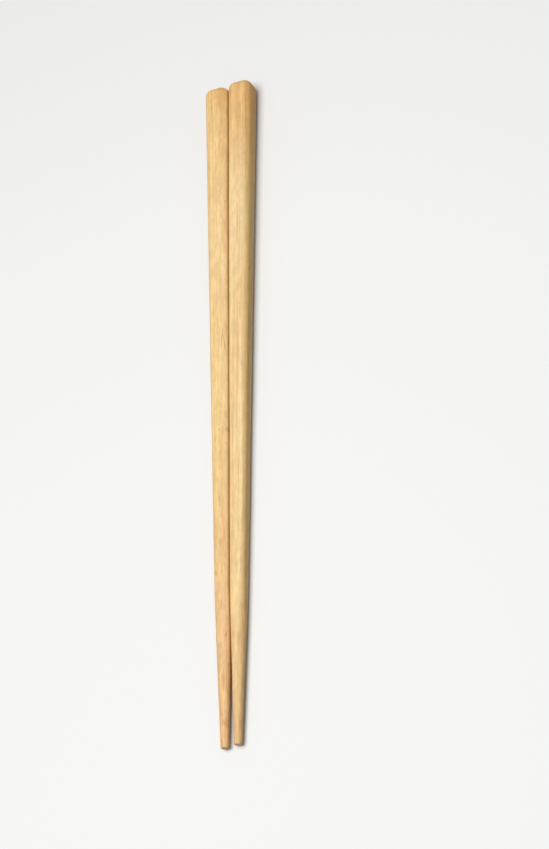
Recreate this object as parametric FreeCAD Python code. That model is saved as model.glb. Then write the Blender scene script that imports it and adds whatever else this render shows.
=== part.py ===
"""A pair of wooden chopsticks lying side by side, in millimetres.

The sticks rest on their lower flats on z = 0, with their tips towards -Y and their inner flats along x = 0.
"""
import FreeCAD, Part
import math
import os

# Driving dimensions

stick_length = 225.0        # from the handle's end to the tip
handle_side = 8.3           # across the flats at the handle's end
tip_square = 4.1            # across the same flats where they would reach the tip, before it is turned
handle_flat = 2.7           # width of each flat between the rounded edges, at the handle's end
handle_end_rounding = 2.3   # round the edge of the handle's end
tip_diameter = 2.6          # of the turned tip
tip_rounding = 0.4          # round the edge of the blunt tip
turned_length = 52.0        # from the tip to where the turning starts
turning_clearance = 0.05    # between the edges and the turned line where the turning starts
side_gap = 0.1              # between the inner flats of the two sticks
stagger = 0.5               # how much further the right stick lies towards +Y

# Allowance for the raw blank, which is cut away

blank_spare = 5.0           # what the blank has beyond the tip


def side_at(distance):
    """Side of the squared stick at a distance from the handle's end."""
    return handle_side - (handle_side - tip_square) * distance / stick_length


def half_taper():
    """Angle between the axis and each flat, in degrees."""
    return math.degrees(math.atan((handle_side - tip_square) / 2 / stick_length))


def apex_distance():
    """Distance from the handle's end to the point where all four flats would meet."""
    return handle_side * stick_length / (handle_side - tip_square)


def pyramid(distance, side):
    """Square body along -Y that narrows towards the apex, with a given side at the handle's end."""
    wide_half = side / 2
    narrow_half = wide_half * (1 - distance / apex_distance())
    return Part.makeWedge(
        -narrow_half, -distance, -narrow_half, -wide_half, -wide_half,
        narrow_half, 0, narrow_half, wide_half, wide_half,
    )


def rounded_edge(distance, right, up):
    """Cone that touches two neighbouring flats, the rounded edge between them as its outer side."""
    apex = apex_distance()
    half = handle_side / 2
    flat_half = handle_flat / 2
    axis_out = apex + (half - flat_half) * half / apex
    axis = FreeCAD.Vector(right * flat_half, axis_out, up * flat_half)
    reach = (half - flat_half) * math.hypot(1, half / apex)
    slope = reach / math.sqrt(axis.Length**2 - reach**2)
    near = axis.Length * (1 - distance / apex) - half
    far = axis.Length + half
    direction = FreeCAD.Vector(axis).normalize()
    start = FreeCAD.Vector(0, -apex, 0) + direction * near
    return Part.makeCone(near * slope, far * slope, far - near, start, direction)


def squared_blank():
    """Square stick along -Y with rounded edges, all narrowing together, and a rounded handle end."""
    length = stick_length + blank_spare
    corner_side = (handle_side + handle_flat) / math.sqrt(2)
    corner_planes = pyramid(length, corner_side)
    corner_planes.rotate(FreeCAD.Vector(0, 0, 0), FreeCAD.Vector(0, 1, 0), 45)
    core = pyramid(length, handle_side).common(corner_planes)
    slab = Part.makeBox(
        2 * handle_side, length, 2 * handle_side, FreeCAD.Vector(-handle_side, -length, -handle_side)
    )
    edges = [rounded_edge(length, right, up).common(slab) for right in (-1, 1) for up in (-1, 1)]
    blank = core.multiFuse(edges).removeSplitter()
    end_edges = [edge for edge in blank.Edges if edge.BoundBox.YMin > -handle_end_rounding / 2]
    return blank.makeFillet(handle_end_rounding, end_edges)


def reach_across_corners(distance):
    """Distance from the axis to the rounded edges of the squared stick."""
    half = side_at(distance) / 2
    corner = half * (1 - handle_flat / handle_side)
    return (half - corner) * math.sqrt(2) + corner


def turned_envelope():
    """Round body that the stick is turned to: clear of the handle, narrowing to the blunt tip."""
    start = stick_length - turned_length
    start_radius = reach_across_corners(start) + turning_clearance
    tip_radius = tip_diameter / 2
    shoulder = stick_length - tip_rounding
    wide = handle_side
    rounding_mid = tip_rounding * (1 - math.sqrt(0.5))

    def at(radius, distance):
        return FreeCAD.Vector(radius, -distance, 0)

    outline = [
        Part.LineSegment(at(0, -blank_spare), at(wide, -blank_spare)),
        Part.LineSegment(at(wide, -blank_spare), at(wide, start)),
        Part.LineSegment(at(wide, start), at(start_radius, start)),
        Part.LineSegment(at(start_radius, start), at(tip_radius, shoulder)),
        Part.Arc(
            at(tip_radius, shoulder),
            at(tip_radius - rounding_mid, stick_length - rounding_mid),
            at(tip_radius - tip_rounding, stick_length),
        ),
        Part.LineSegment(at(tip_radius - tip_rounding, stick_length), at(0, stick_length)),
        Part.LineSegment(at(0, stick_length), at(0, -blank_spare)),
    ]
    face = Part.Face(Part.Wire([piece.toShape() for piece in outline]))
    return face.revolve(FreeCAD.Vector(0, 0, 0), FreeCAD.Vector(0, 1, 0), 360)


def chopstick():
    """One stick, its handle end at the origin and its axis along -Y."""
    stick = squared_blank().common(turned_envelope())
    return stick.Solids[0]


def laid(stick, side):
    """The stick on its lower flat, left of the middle for side -1 and right of it for side 1."""
    tilt = FreeCAD.Rotation(FreeCAD.Vector(1, 0, 0), half_taper())
    toe_in = FreeCAD.Rotation(FreeCAD.Vector(0, 0, 1), -side * half_taper())
    flat_reach = handle_side / 2 * math.cos(math.radians(half_taper()))
    across = side * (flat_reach + side_gap / 2)
    along = (stick_length + side * stagger) / 2
    place = FreeCAD.Placement(FreeCAD.Vector(across, along, flat_reach), toe_in.multiply(tilt))
    lying = stick.copy()
    lying.Placement = place
    return lying


def main():
    os.makedirs("parts", exist_ok=True)
    stick = chopstick()
    for name, side in (("chopstick_left", -1), ("chopstick_right", 1)):
        shape = laid(stick, side)
        shape.exportStep(f"parts/{name}.step")
        box = shape.BoundBox
        print(name, shape.isValid(), "volume", round(shape.Volume, 1), "mm3, faces", len(shape.Faces))
        print("  x", round(box.XMin, 3), round(box.XMax, 3), "y", round(box.YMin, 3), round(box.YMax, 3),
              "z", round(box.ZMin, 3), round(box.ZMax, 3))


main()
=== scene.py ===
"""Two pale wooden chopsticks side by side on a plain floor, in metres."""
import math

import bpy
from mathutils import Euler, Matrix, Vector, noise


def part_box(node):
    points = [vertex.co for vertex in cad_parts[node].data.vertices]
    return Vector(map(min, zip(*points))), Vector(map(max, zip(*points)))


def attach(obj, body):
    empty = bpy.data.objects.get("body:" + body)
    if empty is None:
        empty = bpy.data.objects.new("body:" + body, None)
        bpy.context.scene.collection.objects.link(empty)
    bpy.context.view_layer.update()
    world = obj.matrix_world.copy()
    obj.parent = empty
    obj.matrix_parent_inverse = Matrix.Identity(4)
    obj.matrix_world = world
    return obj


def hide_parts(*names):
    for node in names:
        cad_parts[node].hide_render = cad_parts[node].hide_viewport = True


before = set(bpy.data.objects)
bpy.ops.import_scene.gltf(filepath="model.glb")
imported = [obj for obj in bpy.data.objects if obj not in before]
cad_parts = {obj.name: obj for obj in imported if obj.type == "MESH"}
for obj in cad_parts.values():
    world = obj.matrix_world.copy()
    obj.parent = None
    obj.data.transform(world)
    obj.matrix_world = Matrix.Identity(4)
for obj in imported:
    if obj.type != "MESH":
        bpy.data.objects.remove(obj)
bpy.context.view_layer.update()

# Sizes of a stick, the same as in the solids

MM = 0.001
STICK_LENGTH = 225.0 * MM
HANDLE_SIDE = 8.3 * MM
TIP_SQUARE = 4.1 * MM       # across the flats where they would reach the tip, before it is turned
HANDLE_FLAT = 2.7 * MM      # between the rounded edges, at the handle's end
HANDLE_END_ROUNDING = 2.3 * MM
TIP_DIAMETER = 2.6 * MM
TIP_ROUNDING = 0.4 * MM
TURNED_LENGTH = 52.0 * MM
TURNING_CLEARANCE = 0.05 * MM
TAPER = (HANDLE_SIDE - TIP_SQUARE) / 2 / STICK_LENGTH
HALF_TAPER = math.atan(TAPER)

# How fine the mesh is

CORNER_STEPS = 10           # along each rounded edge's quarter circle
FLAT_STEPS = 6              # across each flat
RING_STEP = 0.7 * MM        # from ring to ring along the stick
ROUNDING_STEPS = 8          # round the edges of both ends
END_RINGS = 5               # across each end face

# What sanding by hand leaves, all of it inwards from the true form

SANDED_DEPTH = 0.05 * MM
SANDED_LENGTH = 23.0 * MM   # from one low place to the next

# Noise in the wood: features to the millimetre across and along the fibres, then its detail,
# roughness and distortion

WAVER = (0.14, 0.012, 3.0, 0.55, 0.0)       # lets the growth rings wander
STRAY = (0.9, 0.15, 3.0, 0.55, 0.0)         # makes the outlines of single marks uneven
FIBRES = (8.0, 0.12, 3.0, 0.65, 0.0)

# Layers of the wood: such noise, the range of its values over which the layer comes in, and for
# some what this range is brought to

STRIPES = ((0.55, 0.008, 3.0, 0.6, 0.0), (0.38, 0.62))
LINES = ((1.5, 0.012, 3.0, 0.6, 0.3), (0.42, 0.66))
HAIRS = ((3.4, 0.025, 3.0, 0.55, 0.2), (0.54, 0.66))
BLOTCHES = ((0.25, 0.05, 4.0, 0.6, 0.5), (0.42, 0.66))
FLECKS = ((1.5, 0.28, 3.0, 0.6, 0.8), (0.54, 0.68))
PORES = ((6.0, 1.0, 2.0, 0.6, 0.0), (0.56, 0.66))
PATCHES = ((0.4, 0.02, 2.0, 0.55, 0.0), (0.3, 0.62, 0.4, 1.0))      # how much the growth rings show
MOTTLE = ((0.7, 0.22, 3.0, 0.6, 0.4), (0.32, 0.68, 0.93, 1.07))     # what the colour is multiplied by

# Late wood, by shares of a growth ring: where it starts, is full, and starts to fall

LATE_ON_SIDES = (0.35, 0.85, 0.9)
LATE_ON_ENDS = (0.3, 0.9, 0.94)

# Fibres: the range of their noise that counts, and what it is brought to

FIBRE_SPAN = (0.3, 0.7)
FIBRE_TONES = (0.92, 1.07)      # what the colour is multiplied by
FIBRE_ROUGHNESS = (0.60, 0.48)
WOOD_SPECULAR = 0.3
FIBRE_RELIEF = 0.7          # share of the fibres in the relief
HAIR_RELIEF = 0.3           # share of the hairs, as grooves
RELIEF_STRENGTH = 0.5
RELIEF_DEPTH = 0.04 * MM

# Where and how much the wood changes along a stick, in millimetres and shares

MARK_FADE = 0.5             # single marks end over this, above and below the middle height
FLECK_FADE = 60.0           # flecks and hairs grow stronger over this, towards the tip
UPPER_FLECKS = 0.25         # share of the flecks above it
HAIR_BASE = 0.8             # share of the hairs without that growth
HAIR_GROWTH = 0.8           # and what full growth adds
TIP_SHADE_FULL = 4.0         # from the tip's end, where its painted shade is full
HANDLE_CUT_START = 1.3      # from the handle's end, where its end grain begins
HANDLE_CUT_FULL = 0.1       # and where it is full
TIP_CUT_START = 0.4         # from the tip's end, where its end grain begins
HANDLE_CUT_SHARE = 0.5      # how strong the end grain is
TIP_CUT_SHARE = 0.15
ARC_SHARE = 0.9             # how strong the rings' arcs are in it
PORE_SHARE = 0.35
CUT_ROUGHNESS = 0.4         # that end grain adds

# Camera

VIEW_AZIMUTH = math.radians(40.5)
VIEW_ELEVATION = math.radians(54.65)
VIEW_ROLL = math.radians(-0.31)
VIEW_DISTANCE = 0.7
VIEW_LENS = 97.4
VIEW_NEAR = 0.01            # nearest distance that it shows
VIEW_AIM = Vector((0.01317, -0.01140, 0.0))

# Light, floor and background

LAMP_PLACE = Vector((-0.03, -0.15, 0.95))
LAMP_SIZE = 0.6
LAMP_POWER = 8.3
ROOM_LIGHT = 0.27           # even light from all round
BACKDROP_LIGHT = 0.89       # background as it is seen
FLOOR_HALF = 3.0
FLOOR_DROP = 0.02 * MM      # just under the sticks
FLOOR_PALE = (0.86, 0.86, 0.85, 1)      # floor as it is seen
FLOOR_DULL = (0.28, 0.28, 0.28, 1)      # floor as it throws light up
FLOOR_SHADED = 0.14         # from the middle, where its own shading starts to give way
FLOOR_PLAIN = 0.5           # and where it is as plain as the background
FLOOR_ROUGHNESS = 0.9
FLOOR_SPECULAR = 0.1


def side_at(distance):
    """Side of the squared stick at a distance from the handle's end."""
    return HANDLE_SIDE - (HANDLE_SIDE - TIP_SQUARE) * distance / STICK_LENGTH


def corner_at(distance):
    """Radius of the rounded edges at a distance from the handle's end."""
    return side_at(distance) / 2 * (1 - HANDLE_FLAT / HANDLE_SIDE)


def turned_radius(distance):
    """Radius that the stick is turned to at a distance from the handle's end."""
    start = STICK_LENGTH - TURNED_LENGTH
    if distance <= start:
        return HANDLE_SIDE
    corner = corner_at(start)
    start_radius = (side_at(start) / 2 - corner) * math.sqrt(2) + corner + TURNING_CLEARANCE
    part = min(1.0, (distance - start) / (TURNED_LENGTH - TIP_ROUNDING))
    return start_radius + (TIP_DIAMETER / 2 - start_radius) * part


def rounded_square(side, corner):
    """Outline points (x, z) of a square with rounded corners, the same number for any size."""
    half = side / 2
    middle = half - corner
    points = []
    for turn in range(4):
        for step in range(CORNER_STEPS + 1):
            angle = math.pi / 2 * (turn + step / CORNER_STEPS)
            quarter = math.pi / 2 * turn + math.pi / 4
            centre = Vector((math.cos(quarter), math.sin(quarter))) * middle * math.sqrt(2)
            points.append(centre + Vector((math.cos(angle), math.sin(angle))) * corner)
        start = points[-1]
        end = Matrix.Rotation(math.pi / 2 * (turn + 1), 2) @ Vector((half, middle))
        points += [start.lerp(end, step / FLAT_STEPS) for step in range(1, FLAT_STEPS)]
    return points


def sanded(point, distance, seed):
    """Moves an outline point inwards a little, as hand sanding does."""
    where = Vector((point.x / HANDLE_SIDE, distance / SANDED_LENGTH, point.y / HANDLE_SIDE + seed))
    depth = SANDED_DEPTH * min(1.0, max(0.0, 0.5 + noise.noise(where)))
    return point * (1 - depth / point.length)


def section(distance, inset, seed):
    """One ring of the stick: the rounded square less an inset, cut back to the turned radius."""
    side = side_at(distance) - 2 * inset
    corner = corner_at(distance) - inset
    limit = turned_radius(distance) - inset
    ring = []
    for point in rounded_square(side, corner):
        if point.length > limit:
            point = point * (limit / point.length)
        point = sanded(point, distance, seed)
        ring.append(Vector((point.x, -distance, point.y)))
    return ring


def stations():
    """Distance and inset of every ring along the sides, from the handle's end to the tip's."""
    handle = []
    tip = []
    for step in range(ROUNDING_STEPS + 1):
        angle = math.pi / 2 * step / ROUNDING_STEPS
        from_end = 1 - math.cos(angle)
        from_side = 1 - math.sin(angle)
        handle.append((HANDLE_END_ROUNDING * from_end, HANDLE_END_ROUNDING * from_side))
        tip.append((STICK_LENGTH - TIP_ROUNDING * from_side, TIP_ROUNDING * from_end))
    count = round((STICK_LENGTH - HANDLE_END_ROUNDING - TIP_ROUNDING) / RING_STEP)
    first, last = handle[-1][0], tip[0][0]
    body = [(first + (last - first) * step / count, 0.0) for step in range(1, count)]
    return handle + body + tip


def stick_mesh(name, seed):
    """A stick's mesh, its handle end at the origin and its axis along -Y."""
    sides = [section(distance, inset, seed) for distance, inset in stations()]
    tip_middle = Vector((0, -STICK_LENGTH, 0))
    shares = [step / END_RINGS for step in range(1, END_RINGS)]
    handle_face = [[p * share for p in sides[0]] for share in shares]
    tip_face = [[tip_middle.lerp(p, 1 - share) for p in sides[-1]] for share in shares]
    rings = handle_face + sides + tip_face
    around = len(rings[0])
    points = [p for ring in rings for p in ring] + [Vector((0, 0, 0)), tip_middle]
    faces = []
    for row in range(len(rings) - 1):
        for column in range(around):
            beside = (column + 1) % around
            a, b = row * around, (row + 1) * around
            faces.append((a + column, a + beside, b + beside, b + column))
    handle_point, tip_point = len(points) - 2, len(points) - 1
    last = (len(rings) - 1) * around
    for column in range(around):
        beside = (column + 1) % around
        faces.append((handle_point, beside, column))
        faces.append((tip_point, last + column, last + beside))
    mesh = bpy.data.meshes.new(name)
    mesh.from_pydata([tuple(p) for p in points], [], faces)
    mesh.shade_smooth()
    return mesh


def laid(side, node):
    """Where a stick lies, left of the middle for side -1 and right of it for side 1."""
    low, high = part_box(node)
    turn = Euler((HALF_TAPER, 0, -side * HALF_TAPER), "XYZ")
    flat_reach = HANDLE_SIDE / 2 * math.cos(HALF_TAPER)
    inner = low.x if side > 0 else high.x
    across = inner + side * flat_reach
    along = (low.y + high.y + STICK_LENGTH) / 2
    return Matrix.LocRotScale(Vector((across, along, flat_reach)), turn, None)


def placed(name, data):
    """A new object in the scene."""
    made = bpy.data.objects.new(name, data)
    bpy.context.scene.collection.objects.link(made)
    return made


def add(tree, kind, inputs=(), **settings):
    """Adds a node, with settings for its attributes, and inputs by socket name or number."""
    made = tree.nodes.new("ShaderNode" + kind)
    for key, value in settings.items():
        setattr(made, key, value)
    for key, value in dict(inputs).items():
        if isinstance(value, bpy.types.NodeSocket):
            tree.links.new(value, made.inputs[key])
        else:
            made.inputs[key].default_value = value
    return made


def calc(tree, operation, *values):
    """A Math node's result."""
    return add(tree, "Math", dict(enumerate(values)), operation=operation).outputs[0]


def squared_reach(tree, first, second):
    """Sum of the squares of two values."""
    return calc(tree, "ADD", calc(tree, "MULTIPLY", first, first), calc(tree, "MULTIPLY", second, second))


def ramp(tree, value, low, high, to_low=0.0, to_high=1.0):
    """Value brought smoothly from the range low to high into another range."""
    inputs = {"Value": value, "From Min": low, "From Max": high, "To Min": to_low, "To Max": to_high}
    return add(tree, "MapRange", inputs, interpolation_type="SMOOTHSTEP").outputs["Result"]


def grain(tree, place, kind):
    """Noise drawn out along the fibres."""
    across, along, detail, roughness, distortion = kind
    stretch = (across, along, across)
    stretched = add(tree, "VectorMath", {0: place, 1: stretch}, operation="MULTIPLY").outputs[0]
    inputs = {
        "Vector": stretched,
        "Scale": 1.0,
        "Detail": detail,
        "Roughness": roughness,
        "Distortion": distortion,
    }
    return add(tree, "TexNoise", inputs).outputs["Fac"]


def layered(tree, place, layer):
    """One layer of the wood."""
    kind, shown = layer
    return ramp(tree, grain(tree, place, kind), *shown)


def mixed(tree, share, first, second, blend="MIX"):
    """Two colours mixed by a share."""
    made = add(tree, "Mix", data_type="RGBA", blend_type=blend)
    share_socket, first_socket, second_socket = made.inputs[0], made.inputs[6], made.inputs[7]
    for socket, value in ((share_socket, share), (first_socket, first), (second_socket, second)):
        if isinstance(value, bpy.types.NodeSocket):
            tree.links.new(value, socket)
        else:
            socket.default_value = value
    return made.outputs[2]


def with_painted_shade(tree, colour, share, tone):
    """Colour multiplied by a tone, by a share: painted shade, on long sides and towards both ends."""
    return mixed(tree, share, colour, mixed(tree, 1.0, colour, tone, "MULTIPLY"))


def seen_plainly(tree):
    """1 for rays that show a thing, straight or in a reflection, and 0 for light that it throws on."""
    path = add(tree, "LightPath")
    share = calc(tree, "MAXIMUM", path.outputs["Is Camera Ray"], path.outputs["Is Glossy Ray"])
    return calc(tree, "MAXIMUM", share, path.outputs["Is Transmission Ray"])


def growth_year(tree, place, x, y, z, look):
    """How far a point is through its growth ring, the pith well outside the stick and askew to it."""
    drift = calc(tree, "MULTIPLY", y, look["ring_lean"])
    waver = calc(tree, "MULTIPLY", grain(tree, place, WAVER), look["waver"])
    from_x = calc(tree, "ADD", calc(tree, "SUBTRACT", x, look["pith"][0]), drift)
    from_z = calc(tree, "SUBTRACT", z, look["pith"][1])
    reach = calc(tree, "ADD", calc(tree, "SQRT", squared_reach(tree, from_x, from_z)), waver)
    return calc(tree, "FRACT", calc(tree, "DIVIDE", reach, look["ring_width"]))


def late_wood(tree, year, start, full, fall):
    """The dark part of each growth ring, slow to rise and quick to fall at the ring's end."""
    return calc(tree, "MULTIPLY", ramp(tree, year, start, full), ramp(tree, year, 1.0, fall))


def marked(tree, colour, x, y, z, stray, mark):
    """Colour with one mark of the wood's figure on it: a streak, a speck or a soft patch."""
    across, distance, half_width, half_length, slant, strength, tint = mark
    from_y = calc(tree, "ADD", y, distance)
    aside = calc(tree, "SUBTRACT", calc(tree, "SUBTRACT", x, across), calc(tree, "MULTIPLY", from_y, slant))
    strayed = calc(tree, "ADD", aside, calc(tree, "MULTIPLY", stray, half_width))
    aside = calc(tree, "DIVIDE", strayed, half_width)
    along = calc(tree, "DIVIDE", from_y, half_length)
    inside = ramp(tree, squared_reach(tree, aside, along), 1.0, 0.0)
    above = ramp(tree, z, -MARK_FADE, MARK_FADE)
    share = calc(tree, "MULTIPLY", calc(tree, "MULTIPLY", inside, above), strength)
    return mixed(tree, share, colour, tint)


def wood(name, lay, look):
    """Pale sanded softwood whose fibres run along one stick."""
    material = bpy.data.materials.new(name)
    material.use_nodes = True
    tree = material.node_tree
    shader = tree.nodes["Principled BSDF"]

    # Millimetres in the stick's own frame, moved apart for each stick so that no two share a figure
    inputs = {
        "Vector": add(tree, "TexCoord").outputs["Object"],
        "Location": lay.translation,
        "Rotation": lay.to_euler(),
        "Scale": (MM, MM, MM),
    }
    local = add(tree, "Mapping", inputs, vector_type="TEXTURE").outputs[0]
    place = add(tree, "VectorMath", {0: local, 1: look["offset"]}, operation="ADD").outputs[0]
    x, y, z = add(tree, "SeparateXYZ", {0: local}).outputs

    year = growth_year(tree, place, x, y, z, look)
    late = late_wood(tree, year, *LATE_ON_SIDES)
    rings = calc(tree, "MULTIPLY", late, layered(tree, place, PATCHES))
    blotches = layered(tree, place, BLOTCHES)
    lines = layered(tree, place, LINES)
    hairs = layered(tree, place, HAIRS)
    fibres = grain(tree, place, FIBRES)

    # Hairs and flecks are stronger towards the tip
    start = -look["fleck_start"]
    lower = ramp(tree, y, start, start - FLECK_FADE, UPPER_FLECKS, 1.0)
    more = calc(tree, "MULTIPLY_ADD", lower, HAIR_GROWTH, HAIR_BASE)
    seen_hairs = calc(tree, "MULTIPLY", more, hairs)
    seen_flecks = calc(tree, "MULTIPLY", layered(tree, place, FLECKS), lower)

    colour = mixed(tree, layered(tree, place, STRIPES), look["warm"], look["pale"])
    figure = {"ring": rings, "blotch": blotches, "line": lines, "hair": seen_hairs, "fleck": seen_flecks}
    for part, shown in figure.items():
        share = calc(tree, "MULTIPLY", shown, look[part + "_strength"])
        colour = mixed(tree, share, colour, look[part])
    stray = calc(tree, "SUBTRACT", grain(tree, place, STRAY), 0.5)
    for mark in look["marks"]:
        colour = marked(tree, colour, x, y, z, stray, mark)
    fine = ramp(tree, fibres, *FIBRE_SPAN, *FIBRE_TONES)
    shade = calc(tree, "MULTIPLY", fine, layered(tree, place, MOTTLE))
    grey = add(tree, "CombineColor", {0: shade, 1: shade, 2: shade}).outputs[0]
    colour = mixed(tree, 1.0, colour, grey, "MULTIPLY")

    # Painted shade on some long sides, strongest at the side itself: where the two sticks touch, and down
    # the right stick's outer side
    half_side = calc(tree, "MULTIPLY_ADD", y, TAPER, HANDLE_SIDE / 2 / MM)
    for side, depth, tone in look["sides"]:
        from_side = calc(tree, "SUBTRACT", half_side, calc(tree, "MULTIPLY", x, side))
        colour = with_painted_shade(tree, colour, ramp(tree, from_side, depth, 0.0), tone)

    # Painted shade: both ends of a stick are a little darker and warmer than its middle
    tip_end = -STICK_LENGTH / MM
    shaded_top = ramp(tree, y, -look["top_length"], 0.0)
    colour = with_painted_shade(tree, colour, shaded_top, look["top_painted_shade"])
    shaded_tip = ramp(tree, y, look["tip_length"] + tip_end, TIP_SHADE_FULL + tip_end)
    colour = with_painted_shade(tree, colour, shaded_tip, look["tip_painted_shade"])

    # The cut ends drink in more light than the sides, and show the rings as arcs between open pores
    at_handle = ramp(tree, y, -HANDLE_CUT_START, -HANDLE_CUT_FULL, 0.0, HANDLE_CUT_SHARE)
    at_tip = ramp(tree, y, TIP_CUT_START + tip_end, tip_end, 0.0, TIP_CUT_SHARE)
    ends = calc(tree, "MAXIMUM", at_handle, at_tip)
    colour = mixed(tree, ends, colour, look["end"])
    arcs = calc(tree, "MULTIPLY", late_wood(tree, year, *LATE_ON_ENDS), ARC_SHARE)
    pores = calc(tree, "MULTIPLY", layered(tree, place, PORES), PORE_SHARE)
    cut = calc(tree, "ADD", arcs, pores)
    colour = mixed(tree, calc(tree, "MULTIPLY", ends, cut), colour, look["fleck"])

    tree.links.new(colour, shader.inputs["Base Color"])
    rough = ramp(tree, fibres, *FIBRE_SPAN, *FIBRE_ROUGHNESS)
    rough = calc(tree, "ADD", rough, calc(tree, "MULTIPLY", ends, CUT_ROUGHNESS))
    tree.links.new(rough, shader.inputs["Roughness"])
    shader.inputs["Specular IOR Level"].default_value = WOOD_SPECULAR
    ridges = calc(tree, "MULTIPLY", fibres, FIBRE_RELIEF)
    relief = calc(tree, "SUBTRACT", ridges, calc(tree, "MULTIPLY", hairs, HAIR_RELIEF))
    bump = add(tree, "Bump", {"Height": relief, "Strength": RELIEF_STRENGTH, "Distance": RELIEF_DEPTH})
    tree.links.new(bump.outputs[0], shader.inputs["Normal"])
    return material


# Colours of the single marks, among them painted light and painted shade, and the tone of the painted shade
# on the sides where the two sticks touch

BROWN = (0.36, 0.19, 0.06, 1)
TAN = (0.66, 0.38, 0.14, 1)
ORANGE = (0.72, 0.38, 0.13, 1)
OLIVE = (0.54, 0.37, 0.13, 1)
GREY = (0.45, 0.31, 0.14, 1)
# pale wood for the soft pale patches, and painted light: a highlight stripe on the right stick and light on
# both edges next to the other stick
CREAM_AND_PAINTED_LIGHT = (0.93, 0.72, 0.40, 1)
# painted shade colour for the right stick's outer side
PAINTED_FLANK_SHADE = (0.80, 0.55, 0.21, 1)
# painted shade for the sides where the two sticks touch
PAINTED_SEAM_SHADE = (0.68, 0.59, 0.31, 1)

# The two sticks, in millimetres. offset moves the noise. pith is the middle of the growth rings,
# which are ring_width wide, drift by ring_lean for each millimetre along and wander by waver.
# A side of painted shade has its direction across, the depth to which its tone reaches, and that tone.
# A mark has a place across and along, half its width and length, its slant across for each
# millimetre along, its strength and its colour.

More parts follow.
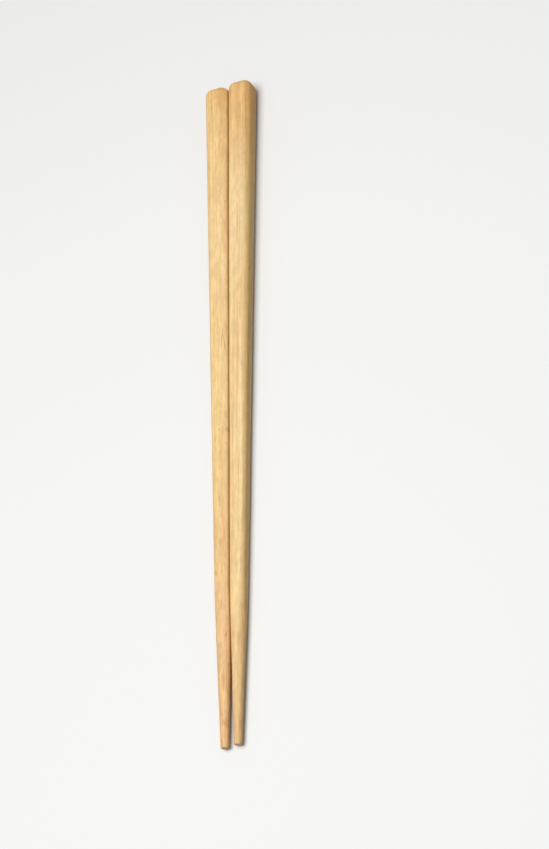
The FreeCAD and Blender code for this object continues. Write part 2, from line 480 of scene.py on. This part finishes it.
LOOKS = {
    "left": {
        "offset": (3.0, 41.0, 7.0),
        "pith": (-18.2, -24.0), "ring_lean": 0.012, "ring_width": 1.5, "waver": 6.0,
        "pale": (0.91, 0.685, 0.325, 1), "warm": (0.85, 0.565, 0.26, 1),
        "ring": (0.76, 0.46, 0.17, 1), "ring_strength": 0.42,
        "blotch": (0.83, 0.525, 0.25, 1), "blotch_strength": 0.55,
        "line": (0.76, 0.47, 0.18, 1), "line_strength": 0.40,
        "hair": (0.62, 0.35, 0.12, 1), "hair_strength": 0.28,
        "fleck": (0.64, 0.36, 0.13, 1), "fleck_strength": 0.90, "fleck_start": 110.0,
        # painted shade along the side that touches the other stick
        "sides": ((1.0, 0.42, PAINTED_SEAM_SHADE),),
        # painted shade towards both ends
        "top_length": 12.0, "top_painted_shade": (0.97, 0.93, 0.78, 1),
        "tip_length": 90.0, "tip_painted_shade": (0.945, 0.855, 0.88, 1),
        "end": (0.66, 0.43, 0.20, 1),
        "marks": (
            # painted light on the rounded edge next to the other stick
            (2.5, 105.0, 1.2, 135.0, 0.007, 0.55, CREAM_AND_PAINTED_LIGHT),
            (0.0, 58.0, 5.5, 20.0, 0.0, 0.26, CREAM_AND_PAINTED_LIGHT),
            (0.0, 186.0, 3.5, 20.0, 0.0, 0.24, CREAM_AND_PAINTED_LIGHT),
            (0.0, 149.0, 6.0, 42.0, 0.0, 0.15, TAN),
            (2.1, 5.0, 1.5, 8.0, 0.0, 0.60, ORANGE),
            # orange strip along the edge by the seam: partly the wood's tint, partly painted shade towards
            # the seam
            (2.3, 22.0, 0.8, 22.0, 0.01, 0.30, ORANGE),
            (-1.0, 6.5, 0.24, 7.0, 0.01, 0.60, GREY),
            (3.1, 44.2, 0.23, 0.9, 0.05, 0.55, BROWN),
            (2.2, 49.8, 0.28, 5.5, -0.20, 0.35, ORANGE),
            (2.8, 56.0, 1.3, 10.0, -0.03, 0.26, ORANGE),
            (1.7, 93.0, 0.22, 5.0, 0.10, 0.50, BROWN),
            (2.3, 95.0, 0.22, 4.0, -0.08, 0.45, BROWN),
            (2.6, 90.0, 0.45, 4.0, 0.0, 0.35, TAN),
            (0.25, 124.5, 0.95, 1.7, 0.0, 0.45, CREAM_AND_PAINTED_LIGHT),
            (0.25, 124.7, 0.48, 0.8, 0.0, 0.60, TAN),
            (2.3, 119.5, 0.50, 1.6, 0.0, 0.35, ORANGE),
            (2.6, 124.8, 0.65, 1.2, 0.0, 0.55, TAN),
            (2.3, 129.4, 0.40, 0.8, 0.0, 0.40, ORANGE),
            (1.4, 158.0, 0.35, 7.0, -0.03, 0.40, TAN),
            (1.5, 191.0, 0.25, 1.2, 0.1, 0.55, BROWN),
            (0.6, 205.0, 0.35, 6.0, 0.04, 0.40, OLIVE),
            (1.05, 217.8, 0.36, 2.4, 0.0, 0.60, TAN),
        ),
    },
    "right": {
        "offset": (57.0, 13.0, 29.0),
        "pith": (22.0, -17.0), "ring_lean": -0.006, "ring_width": 1.25, "waver": 4.0,
        "pale": (0.90, 0.68, 0.345, 1), "warm": (0.83, 0.575, 0.275, 1),
        "ring": (0.74, 0.48, 0.20, 1), "ring_strength": 0.46,
        "blotch": (0.83, 0.53, 0.27, 1), "blotch_strength": 0.40,
        "line": (0.74, 0.49, 0.22, 1), "line_strength": 0.32,
        "hair": (0.61, 0.37, 0.15, 1), "hair_strength": 0.28,
        "fleck": (0.66, 0.42, 0.19, 1), "fleck_strength": 0.40, "fleck_start": 130.0,
        # painted shade along the side that touches the left stick, and down the outer side
        "sides": ((-1.0, 0.42, PAINTED_SEAM_SHADE), (1.0, 1.3, (0.99, 0.93, 0.78, 1))),
        # painted shade towards both ends
        "top_length": 40.0, "top_painted_shade": (0.94, 0.80, 0.66, 1),
        "tip_length": 48.0, "tip_painted_shade": (0.88, 0.79, 0.73, 1),
        "end": (0.66, 0.46, 0.23, 1),
        "marks": (
            # painted light on the rounded edge next to the other stick
            (-2.5, 105.0, 1.2, 135.0, -0.007, 0.45, CREAM_AND_PAINTED_LIGHT),
            (0.0, 54.0, 5.5, 26.0, 0.0, 0.36, CREAM_AND_PAINTED_LIGHT),
            (0.5, 17.5, 4.5, 8.0, 0.0, 0.14, TAN),
            (0.0, 205.0, 3.0, 13.0, 0.0, 0.28, CREAM_AND_PAINTED_LIGHT),
            # painted highlight, a sheen stripe down the stick
            (1.5, 120.0, 0.45, 48.0, -0.013, 0.55, CREAM_AND_PAINTED_LIGHT),
            (3.2, 102.0, 0.28, 30.0, 0.008, 0.50, OLIVE),
            # painted shade down the right stick's outer side
            (3.4, 70.0, 1.5, 150.0, 0.0, 0.45, PAINTED_FLANK_SHADE),
            # painted shade on the outer side near the handle
            (2.9, 24.0, 0.55, 30.0, 0.0, 0.40, OLIVE),
            (0.15, 54.5, 0.17, 11.0, 0.0, 0.60, GREY),
            (0.9, 58.0, 0.30, 20.0, 0.0, 0.25, OLIVE),
            (0.35, 98.0, 0.20, 20.0, -0.002, 0.75, OLIVE),
            (-1.2, 130.0, 0.18, 22.0, 0.004, 0.35, GREY),
            (1.0, 150.0, 0.22, 16.0, 0.0, 0.30, OLIVE),
            (0.1, 199.0, 0.22, 3.5, 0.16, 0.55, TAN),
            (0.5, 203.0, 0.25, 5.0, -0.10, 0.45, TAN),
            (-0.3, 212.0, 0.30, 5.0, 0.05, 0.35, OLIVE),
        ),
    },
}


def make_stick(which, side, seed):
    """One finished stick in place of its solid."""
    node = "chopstick_" + which
    lay = laid(side, node)
    mesh = stick_mesh(which + "_stick", seed)
    mesh.transform(lay)
    mesh.materials.append(wood(which + "_wood", lay, LOOKS[which]))
    stick = placed(which + "_stick", mesh)
    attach(stick, "root")
    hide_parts(node)


def make_floor():
    """Plain pale floor that keeps the sticks' shadow, throws little light up and stays pale far away."""
    mesh = bpy.data.meshes.new("floor")
    corners = ((-1, -1), (1, -1), (1, 1), (-1, 1))
    mesh.from_pydata([(x * FLOOR_HALF, y * FLOOR_HALF, -FLOOR_DROP) for x, y in corners], [], [(0, 1, 2, 3)])
    floor = placed("floor", mesh)
    material = bpy.data.materials.new("floor")
    material.use_nodes = True
    tree = material.node_tree
    shader = tree.nodes["Principled BSDF"]
    seen = seen_plainly(tree)
    place = add(tree, "NewGeometry").outputs["Position"]
    from_middle = add(tree, "VectorMath", {0: place}, operation="LENGTH").outputs["Value"]
    backdrop = calc(tree, "MULTIPLY", seen, ramp(tree, from_middle, FLOOR_SHADED, FLOOR_PLAIN))
    shade = mixed(tree, seen, FLOOR_DULL, FLOOR_PALE)
    tree.links.new(mixed(tree, backdrop, shade, (0, 0, 0, 1)), shader.inputs["Base Color"])
    shader.inputs["Emission Color"].default_value = FLOOR_PALE
    tree.links.new(backdrop, shader.inputs["Emission Strength"])
    shader.inputs["Roughness"].default_value = FLOOR_ROUGHNESS
    shader.inputs["Specular IOR Level"].default_value = FLOOR_SPECULAR
    mesh.materials.append(material)


def make_lamp():
    """Square soft lamp high over the sticks, aimed at the middle between them."""
    light = bpy.data.lights.new("key", "AREA")
    light.size = LAMP_SIZE
    light.energy = LAMP_POWER
    lamp = placed("key", light)
    lamp.location = LAMP_PLACE
    lamp.rotation_euler = (-LAMP_PLACE).to_track_quat("-Z", "Y").to_euler()


def make_world():
    """Even light from all round, with a paler background behind the floor's far edge."""
    world = bpy.data.worlds.new("room")
    bpy.context.scene.world = world
    world.use_nodes = True
    tree = world.node_tree
    sky = tree.nodes["Background"]
    sky.inputs["Color"].default_value = (1, 1, 1, 1)
    strength = ramp(tree, seen_plainly(tree), 0.0, 1.0, ROOM_LIGHT, BACKDROP_LIGHT)
    tree.links.new(strength, sky.inputs["Strength"])


def make_camera():
    """Camera at the photograph's angle, with the sticks upright in the picture."""
    back = Vector((
        math.sin(VIEW_AZIMUTH) * math.cos(VIEW_ELEVATION),
        -math.cos(VIEW_AZIMUTH) * math.cos(VIEW_ELEVATION),
        math.sin(VIEW_ELEVATION),
    ))
    right = Vector((0, 1, 0)).cross(back).normalized()
    up = back.cross(right)
    turned = Matrix((right, up, back)).transposed() @ Matrix.Rotation(VIEW_ROLL, 3, "Z")
    data = bpy.data.cameras.new("camera")
    data.lens = VIEW_LENS
    data.clip_start = VIEW_NEAR
    camera = placed("camera", data)
    camera.matrix_world = Matrix.Translation(VIEW_AIM + back * VIEW_DISTANCE) @ turned.to_4x4()
    bpy.context.scene.camera = camera


make_stick("left", side=-1, seed=0.0)
make_stick("right", side=1, seed=5.0)
make_floor()
make_lamp()
make_world()
make_camera()
bpy.context.scene.view_settings.view_transform = "Standard"
